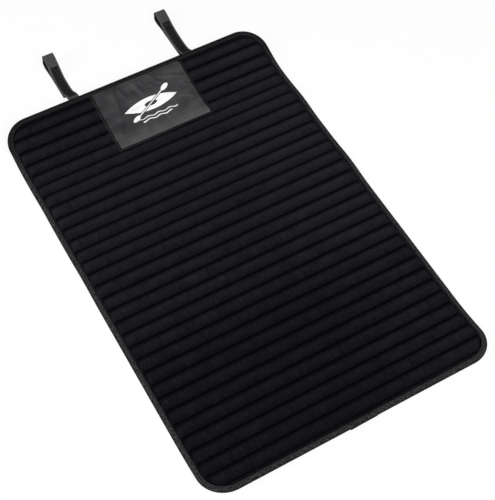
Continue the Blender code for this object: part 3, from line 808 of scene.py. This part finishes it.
def satinPaint():
    # Coated satin with a stitched hem and a plain printed badge: a small boat, its paddle and two waves
    look = dict(satin=(0.070, 0.070, 0.073), dark=(0.0235, 0.0235, 0.0255), ink=(0.82, 0.82, 0.82),
                groove=(0.0010, 0.0010, 0.0013), rim=((0.012, 0.012, 0.0125), (0.004, 0.004, 0.0045)))
    paint = Paint("coatedSatin", 0.50, 0.08)
    x = paint.u - labelLook["shift"]
    y = paint.v - (mat["length"] - labelLook["reach"] * 0.51)
    grain = paint.noise(paint.uv, (1400, 1400, 1), 2, 0.5)
    cloud = paint.noise(paint.uv, (35, 35, 1), 2, 0.5)
    inside = paint.attribute("inside")
    # Painted light in its near channel and painted shade on its left
    nearLight = paint.v.ramp(mat["length"] - 0.115, mat["length"] - 0.140, 0.0, 0.5)
    shade = (grain * 0.4 + cloud * 0.6).ramp(0.25, 0.75) * 0.7 + nearLight - x.ramp(-0.01, -0.08, 0.0, 0.22)
    base = paint.mix(shade, look["dark"], look["satin"])
    # The hull is where two circles overlap, its cockpit an ellipse left out
    hullY = y - 0.004
    radius, half = 0.135, 0.061
    sink = math.sqrt(radius ** 2 - half ** 2)
    upperArc = (x * x + (hullY + sink) * (hullY + sink)).root() - radius
    lowerArc = (x * x + (hullY - sink) * (hullY - sink)).root() - radius
    hull = upperArc.most(lowerArc)
    cockpit = ((x / 0.0135) * (x / 0.0135) + (hullY / 0.0050) * (hullY / 0.0050)).root() - 1.0
    boat = hull.ramp(0.0003, -0.0003) * cockpit.ramp(0.02, 0.12)
    # The paddle lies across it at a slant
    lean = math.radians(28)
    alongPaddle = x * math.cos(lean) + hullY * math.sin(lean)
    acrossPaddle = hullY * math.cos(lean) - x * math.sin(lean)
    shaft = (abs(acrossPaddle) - 0.0011).most(abs(alongPaddle) - 0.047)
    bladeX = (abs(alongPaddle) - 0.048) / 0.0105
    bladeY = acrossPaddle / 0.0050
    blade = ((bladeX * bladeX + bladeY * bladeY).root() - 1.0) * 0.004
    paddle = shaft.least(blade)
    clear = paddle.ramp(0.0014, 0.0018)
    boat = boat * clear
    paddle = paddle.ramp(0.0003, -0.0003)
    # Two waves below
    waves = 0.0
    for drop, reach in ((0.0235, 0.050), (0.0315, 0.034)):
        line = abs(y + drop - (x * (2 * math.pi / 0.025)).sine() * 0.0017) - 0.0013
        waves = line.most(abs(x) - reach).ramp(0.0003, -0.0003) + waves
    ink = boat.most(paddle).most(waves)
    # Painted shade: the stitched line draws the hem down and its groove is painted near black; outside it
    # the hem is painted dark, and darker on the right
    groove = abs(inside - labelLook["hem"]).ramp(0.0020, 0.0008)
    rim = paint.mix(x.ramp(-0.05, 0.08), *look["rim"])
    onHem = inside.ramp(labelLook["hem"], labelLook["hem"] - 0.0010)
    colour = paint.mix(onHem, paint.mix(ink, base, look["ink"]), rim)
    paint.set(Base_Color=paint.mix(groove, colour, look["groove"]),
              Roughness=0.46 + grain * 0.12 + ink * 0.08 + groove * 0.45)
    fine = (paint.u * 2 * math.pi / 0.0009).sine() * (paint.v * 2 * math.pi / 0.0009).sine()
    paint.bump(grain * 0.5 + fine * 0.15 + ink * 0.4 - groove * 1.5, 0.00016, 0.7)
    return paint.material


def labelGrid():
    near, far = mat["length"] - labelLook["reach"], mat["length"] - labelLook["tuck"]
    hem = np.array([0, 0.0007, 0.0034, 0.0040, 0.0044, 0.0048, 0.0056])
    half = labelLook["width"] / 2
    inner = np.linspace(-half + hem[-1], half - hem[-1], labelLook["columns"])[1:-1]
    x = np.concatenate([-half + hem, inner, (half - hem)[::-1]]) + labelLook["shift"]
    s = np.concatenate([near + hem, np.linspace(near + hem[-1], far, labelLook["rows"])[1:]])
    x, s = np.meshgrid(x, s)
    inside = np.minimum(half - np.abs(x - labelLook["shift"]), s - near)
    # Its right side leans in towards the far edge
    right = np.maximum((x - labelLook["shift"]) / half, 0)
    return x - labelLook["rightIn"] * right * (s - near) / labelLook["reach"], s, inside


def labelLevel(x, s, inside, faceShape):
    # Over the crests and a little way into the furrows, deeper at the sewn sides; flat under the binding
    depth = np.minimum(mat["fieldInset"] + mat["shoulder"], mat["length"] - s)
    cloth = np.maximum(levelOf(faceShape, x, s), clothLevel(s, depth)) + 0.0003
    spread = np.mean([clothLevel(s + move, depth) for move in np.linspace(-0.006, 0.006, 7)], axis=0)
    crest = seamLevel + mat["face"] + faceLook["crest"] + 0.0003
    freed = smoothStep(inside, labelLook["hem"], 0.022)
    sag = labelLook["hemSag"] + (labelLook["sag"] - labelLook["hemSag"]) * freed
    sag = sag * (1 + 0.25 * softNoise(x / 0.045, s / 0.030, 33))
    # Past the crest of the far channel it lies on the cloth
    crestS = seams[-1] + (channels[-1] - seams[-1]) * faceLook["crestAt"]
    bridged = crest - sag * (crest - spread)
    level = np.maximum(bridged + (cloth - bridged) * smoothStep(s, crestS - 0.006, crestS + 0.004), cloth)
    return level + mat["gap"] * 0.4 + labelLook["cloth"], cloth


def makeLabel(faceShape):
    x, s, inside = labelGrid()
    level, cloth = labelLevel(x, s, inside, faceShape)
    # Creases: short slanting ridges and troughs near the far edge and at the right
    soft = smoothStep(inside, labelLook["hem"], 0.020) * smoothStep(mat["length"] - s, 0.010, 0.022)
    crease = 0.0007 * softNoise(x / 0.019, s / 0.023, 31) + 0.0005
    for cx, cs, angle, length, width, height in (
            (-0.004, 0.872, 109, 0.017, 0.0030, 0.0021), (-0.013, 0.870, 107, 0.017, 0.0035, -0.0013),
            (0.0300, 0.8885, 132, 0.012, 0.0028, 0.0019), (0.0240, 0.8850, 132, 0.012, 0.0028, -0.0012),
            (0.0380, 0.8735, 136, 0.013, 0.0028, 0.0019), (0.0325, 0.8700, 136, 0.012, 0.0028, -0.0012),
            (0.068, 0.872, 160, 0.034, 0.0045, 0.0017), (-0.060, 0.862, 84, 0.022, 0.0045, 0.0014),
            (0.1010, 0.8370, 142, 0.011, 0.0028, 0.0017), (0.0900, 0.8130, 142, 0.012, 0.0028, 0.0014),
            (-0.076, 0.800, 64, 0.020, 0.0045, 0.0010), (-0.040, 0.874, 112, 0.014, 0.0034, 0.0014)):
        cos, sin = math.cos(math.radians(angle)), math.sin(math.radians(angle))
        a, b = (x - cx) * cos + (s - cs) * sin, (s - cs) * cos - (x - cx) * sin
        crease = crease + labelLook["creases"] * height * np.exp(-(a / length) ** 2 - (b / width) ** 2)
    level = level + soft * crease
    level = np.maximum(level, cloth + mat["gap"] * 0.4 + labelLook["cloth"])
    stitched = np.exp(-((inside - labelLook["hem"]) / 0.0009) ** 2) * 0.00030
    hemmed = smoothStep(inside, labelLook["hem"], labelLook["hem"] - 0.0004) * 0.0002
    level = level - stitched + hemmed
    piece = closedSheet("labelSatin", x, s, level, x.shape[1], level - labelLook["cloth"], satinPaint())
    pointLayer(piece, "inside", np.concatenate([inside, inside[:, ::-1]], axis=1))
    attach(piece, "root")
    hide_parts("label_patch")
    print("label:", len(piece.data.polygons), "faces")

    # Stitches along its two sides and its near edge
    half = labelLook["width"] / 2 - labelLook["hem"]
    near, far = mat["length"] - labelLook["reach"] + labelLook["hem"], mat["length"] - 0.011
    pitch = labelLook["stitch"]
    side = np.arange(near, far, pitch)
    front = np.arange(-half, half, pitch) + pitch / 2
    leaning = half - labelLook["rightIn"] * (side - mat["length"] + labelLook["reach"]) / labelLook["reach"]
    flat = np.concatenate([np.stack([np.full_like(side, -half), side], 1), np.stack([leaning, side], 1),
                           np.stack([front, np.full_like(front, near)], 1)]) + [labelLook["shift"], 0]
    step = np.repeat([[0, 1.0], [1.0, 0]], [2 * len(side), len(front)], axis=0) * 0.0008
    shape = (x, s[:, 0], level)
    at = lambda move: onMat(*(flat + step * move).T, levelOf(shape, *(flat + step * move).T))
    direction = at(1) - at(-1)
    direction = direction / np.linalg.norm(direction, axis=1, keepdims=True)
    thread = threads("labelThread", at(0), direction, matNormal(flat[:, 1]), *labelLook["thread"],
                     blackThread, stations=5, sides=5)
    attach(thread, "root")
    return piece


# Straps

# Each loop's middle line, as y past the mat's far edge and height: the drop, the upper layer, the
# fold, the lower layer
strapLook = dict(
    spacing=0.270, shift=0.004, width=0.0246, webbing=0.0014, root=0.024, sewInset=0.010,
    pile=0.0010, pileWidth=0.0165, hook=0.0010, hookWidth=0.020, hookSpan=(0.062, 0.094),
    askew=-0.0030,
    left=dict(
        pileSpan=(0.013, 0.109),
        line=((0.006, 0.0266), (0.018, 0.0232), (0.030, 0.0150), (0.042, 0.0070), (0.054, 0.0042),
              (0.068, 0.0041), (0.081, 0.0050), (0.092, 0.0092), (0.101, 0.0150), (0.110, 0.0212),
              (0.121, 0.0273), (0.1325, 0.0312), (0.1392, 0.0300), (0.1390, 0.0238), (0.1330, 0.0170),
              (0.1240, 0.0107), (0.1130, 0.0060), (0.1010, 0.0032), (0.0880, 0.0024), (0.0660, 0.0023),
              (0.0360, 0.0023))),
    right=dict(
        pileSpan=(0.013, 0.114),
        line=((0.005, 0.0240), (0.015, 0.0165), (0.027, 0.0092), (0.040, 0.0062), (0.054, 0.0058),
              (0.070, 0.0068), (0.084, 0.0082), (0.096, 0.0105), (0.107, 0.0140), (0.118, 0.0184),
              (0.130, 0.0225), (0.1400, 0.0242), (0.1457, 0.0216), (0.1450, 0.0158), (0.1385, 0.0102),
              (0.1275, 0.0062), (0.1140, 0.0037), (0.1000, 0.0026), (0.0860, 0.0023), (0.0600, 0.0023),
              (0.0250, 0.0023))),
)
farEdge = onMat(0.0, mat["length"], 0.0)[1]


def smoothThrough(points, step):
    # A natural cubic spline through points, each span blended from its ends and their bends
    points = np.asarray(points, float)
    gap = np.linalg.norm(np.diff(points, axis=0), axis=1)
    run = np.concatenate([[0], np.cumsum(gap)])
    last = len(points) - 1
    system, wanted = np.eye(last + 1), np.zeros_like(points)
    inner = np.arange(1, last)
    system[inner, inner] = 2 * (gap[:-1] + gap[1:])
    system[inner, inner - 1], system[inner, inner + 1] = gap[:-1], gap[1:]
    slope = np.diff(points, axis=0) / gap[:, None]
    wanted[inner] = 6 * np.diff(slope, axis=0)
    bend = np.linalg.solve(system, wanted)
    at = np.linspace(0, run[-1], int(run[-1] / step))
    k = np.clip(np.searchsorted(run, at, side="right") - 1, 0, last - 1)
    b = ((at - run[k]) / gap[k])[:, None]
    a = 1 - b
    curve = ((a ** 3 - a) * bend[k] + (b ** 3 - b) * bend[k + 1]) * gap[k, None] ** 2 / 6
    return a * points[k] + b * points[k + 1] + curve


def strapLine(side):
    # From the sewn root under the mat to the free end
    sewn = mat["length"] - strapLook["sewInset"]
    under = np.linspace(sewn - strapLook["root"], sewn, 5)
    root = onMat(0, under, -mat["gap"] - strapLook["webbing"] / 2)[:, 1:]
    return smoothThrough(np.concatenate([root, np.array(strapLook[side]["line"]) + [farEdge, 0]]), 0.0014)


def square(line):
    # The unit direction out of the loop at each point of a line of (y, z)
    along = ahead(line)
    return np.stack([-along[:, 1], along[:, 0]], axis=-1)


def padLine(side, span, upper, offset, count):
    # Part of a layer between two places past the far edge, moved out of the loop by offset
    line = strapLine(side)
    raised = line + square(line) * offset
    tip = np.argmax(line[:, 0])
    part = slice(0, tip) if upper else slice(tip + 1, None)
    past = line[part, 0] - farEdge
    order = slice(None) if upper else slice(None, None, -1)
    at = np.linspace(*(span if upper else span[::-1]), count)
    return np.stack([np.interp(at, past[order], raised[part][order, axis]) for axis in (0, 1)], axis=-1)


def band(name, line, width, thickness, x, paint, across=13):
    # A flat strip with round edges, its middle on a line of (y, z)
    half, round_ = width / 2, thickness / 2
    flat = np.linspace(-half + round_, half - round_, across)
    turn = np.linspace(math.pi / 2, -math.pi / 2, 6)[1:-1]
    outU, outV = round_ * np.cos(turn), round_ * np.sin(turn)
    u = np.concatenate([flat, half - round_ + outU, flat[::-1], -half + round_ - outU])
    v = np.concatenate([round_ + 0 * flat, outV, -round_ + 0 * flat, -outV])
    points = np.zeros((len(line), len(u), 3))
    points[..., 0] = np.reshape(x, (-1, 1)) + u[None, :]
    points[..., 1:] = line[:, None] + square(line)[:, None] * v[None, :, None]
    # The inner side of the webbing is told apart by a u that starts at half a metre; the webbing's paint
    # darkens it as painted shade inside the loop
    side = np.where(v < 0, 0.5, 0.0)
    uv = np.stack(np.broadcast_arrays(np.append(u + side, u[0])[None, :], runAlong(line)[:, None]),
                  axis=-1)
    piece = carried(name, points, uv, paint, sharp=60)
    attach(piece, "root")
    return piece


def bristles(name, spine, offset, width, pitch, length, rise, radius, x, paint, seed):
    # A field of little arched threads over a strip, each turned its own way
    rng = np.random.default_rng(seed)
    run = runAlong(spine)
    rows = np.arange(pitch / 2, run[-1], pitch)
    columns = np.arange(-width / 2 + pitch / 2, width / 2, pitch)
    r, c = (grid.ravel() for grid in np.meshgrid(rows, columns, indexing="ij"))
    r = np.clip(r + rng.normal(0, pitch * 0.2, r.shape), 0, run[-1])
    c = c + rng.normal(0, pitch * 0.2, c.shape)
    at = lambda values: np.stack([np.interp(r, run, values[:, axis]) for axis in (0, 1)], axis=1)
    direction, still = at(ahead(spine)), np.zeros((len(r), 1))
    normal = np.concatenate([still, -direction[:, 1:], direction[:, :1]], axis=1)
    tangent = np.concatenate([still, direction], axis=1)
    c = c + np.interp(r, run, np.broadcast_to(x, run.shape))
    middle = np.concatenate([c[:, None], at(spine)], axis=1) + normal * offset
    angle = rng.uniform(0, math.pi, len(r))[:, None]
    along = np.cos(angle) * tangent + np.sin(angle) * np.array([[1.0, 0, 0]])
    piece = threads(name, middle, along, normal, length, radius, rise, paint, stations=5, sides=4)
    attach(piece, "root")
    return piece


def makeStraps():
    webbing, pilePaintwork, hookPaintwork = webbingPaint(), pilePaint(), hookPaint()
    outside = strapLook["webbing"] / 2 + mat["gap"]
    for side, sign in (("left", -1), ("right", 1)):
        x = strapLook["shift"] + sign * strapLook["spacing"] / 2
        # The lower layer is a little askew beside the fold
        line = strapLine(side)
        tip = line[:, 0].max()
        askew = lambda y: (strapLook["askew"] * smoothStep(tip - y, 0, 0.008)
                           * smoothStep(tip - y, 0.042, 0.010))
        lower = np.arange(len(line)) > np.argmax(line[:, 0])
        strap = band(side + "Strap", line, strapLook["width"], strapLook["webbing"],
                     x + askew(line[:, 0]) * lower, webbing)
        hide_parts(side + "_strap")
        pileLine = padLine(side, strapLook[side]["pileSpan"], True,
                           outside + strapLook["pile"] / 2 - 0.0001, 70)
        pile = band(side + "Pile", pileLine, strapLook["pileWidth"], strapLook["pile"] * 0.7, x,
                    pilePaintwork)
        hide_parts(side + "_pile_pad")
        loops = bristles(side + "PileLoops", pileLine, 0.00025, strapLook["pileWidth"] - 0.0012, 0.0011,
                         0.0011, 0.0006, 0.00013, x, pilePaintwork, 41)
        hookLine = padLine(side, strapLook["hookSpan"], False, outside + strapLook["hook"] * 0.35, 40)
        hookX = x + askew(hookLine[:, 0])
        hook = band(side + "Hook", hookLine, strapLook["hookWidth"], strapLook["hook"] * 0.5, hookX,
                    hookPaintwork)
        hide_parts(side + "_hook_pad")
        hooks = bristles(side + "Hooks", hookLine, 0.0001, strapLook["hookWidth"] - 0.0024, 0.0014,
                         0.0009, 0.0005, 0.00012, hookX, hookPaintwork, 43)
    print("straps: both loops with their pile and hooks")


# Camera, lights and floor

cameraLook = dict(place=(-0.6177, -1.1417, 1.9059), aim=(0.0097, -0.1034, 0.0), up=(0.4079, 0.7387, 0.5367),
                  lens=83.63, sensor=36.0)


def makeCamera():
    # It looks from place to aim, and up sets its roll
    camera = bpy.data.cameras.new("photoCamera")
    camera.lens, camera.sensor_width, camera.sensor_fit = cameraLook["lens"], cameraLook["sensor"], "AUTO"
    camera.clip_start, camera.clip_end = 0.01, 60
    holder = bpy.data.objects.new("photoCamera", camera)
    bpy.context.scene.collection.objects.link(holder)
    back = (Vector(cameraLook["place"]) - Vector(cameraLook["aim"])).normalized()
    right = Vector(cameraLook["up"]).cross(back).normalized()
    up = back.cross(right)
    holder.matrix_world = Matrix((right, up, back)).transposed().to_4x4()
    holder.location = cameraLook["place"]
    bpy.context.scene.camera = holder


lampLook = dict(
    ambient=0.22,
    lamps=(("keyLamp", (0.5, -2.9, 3.1), 2.0, 166.0), ("sideLamp", (-2.9, 0.2, 1.6), 1.2, 70.0)),
)


def makeLights():
    # One big soft lamp from the near side, a weaker low one from the left, and an even pale world
    for name, place, size, power in lampLook["lamps"]:
        light = bpy.data.lights.new(name, "AREA")
        light.shape, light.size, light.energy = "SQUARE", size, power
        holder = bpy.data.objects.new(name, light)
        bpy.context.scene.collection.objects.link(holder)
        holder.location = place
        holder.rotation_euler = Vector(place).to_track_quat("Z", "Y").to_euler()
    world = bpy.data.worlds.new("paleWorld")
    bpy.context.scene.world = world
    world.use_nodes = True
    tree = world.node_tree
    background = tree.nodes["Background"]
    background.inputs["Color"].default_value = (1, 1, 1, 1)
    path = tree.nodes.new("ShaderNodeLightPath")
    seen = tree.nodes.new("ShaderNodeMath")
    seen.operation = "ADD"
    both = tree.nodes.new("ShaderNodeMath")
    both.operation, both.use_clamp = "ADD", True
    strength = tree.nodes.new("ShaderNodeMapRange")
    strength.inputs["To Min"].default_value = lampLook["ambient"]
    strength.inputs["To Max"].default_value = 1.0
    tree.links.new(path.outputs["Is Camera Ray"], seen.inputs[0])
    tree.links.new(path.outputs["Is Transmission Ray"], seen.inputs[1])
    tree.links.new(seen.outputs[0], both.inputs[0])
    tree.links.new(path.outputs["Is Glossy Ray"], both.inputs[1])
    tree.links.new(both.outputs[0], strength.inputs["Value"])
    tree.links.new(strength.outputs[0], background.inputs["Strength"])


def makeFloor():
    # White to the camera apart from a faint shadow, a plain pale floor to the light
    half = 8.0
    mesh = bpy.data.meshes.new("paleFloor")
    corners = [(-half, -half, 0), (half, -half, 0), (half, half, 0), (-half, half, 0)]
    mesh.from_pydata(corners, [], [(0, 1, 2, 3)])
    floor = bpy.data.objects.new("paleFloor", mesh)
    bpy.context.scene.collection.objects.link(floor)
    paint = Paint("paleFloor", 1.0, 0.0)
    paint.set(Base_Color=(0.90, 0.90, 0.90, 1))
    glow = paint.node("ShaderNodeEmission", {}, {"Color": (1, 1, 1, 1), "Strength": 1.0})
    path = paint.node("ShaderNodeLightPath")
    seen = Value(paint, path.outputs["Is Camera Ray"]) + Value(paint, path.outputs["Is Transmission Ray"])
    seen = (seen + Value(paint, path.outputs["Is Glossy Ray"])).least(1.0) * 0.90
    blend = paint.node("ShaderNodeMixShader", {}, {0: seen, 1: paint.shader.outputs[0], 2: glow.outputs[0]})
    out = paint.tree.nodes["Material Output"]
    paint.tree.links.new(blend.outputs[0], out.inputs["Surface"])
    mesh.materials.append(paint.material)


bpy.context.scene.view_settings.view_transform = "Standard"
makeCamera()
makeLights()
makeFloor()
blackThread = threadPaint("blackThread", (0.010, 0.010, 0.011), (0.035, 0.035, 0.037))
greyThread = threadPaint("greyThread", (0.020, 0.020, 0.022), (0.070, 0.070, 0.072))

face, faceShape = makeFace()
seamThreads("seamThread", seamLevel + mat["face"] + 0.00008, 1, blackThread)
seamThreads("seamThreadUnder", mat["dimple"] * 0.9, -1, blackThread)
makeBacking()
makeBinding()
makeLabel(faceShape)
makeStraps()
foam = nodes["foam_padding"]
foam.data.materials.clear()
foam.data.materials.append(foamPaint())
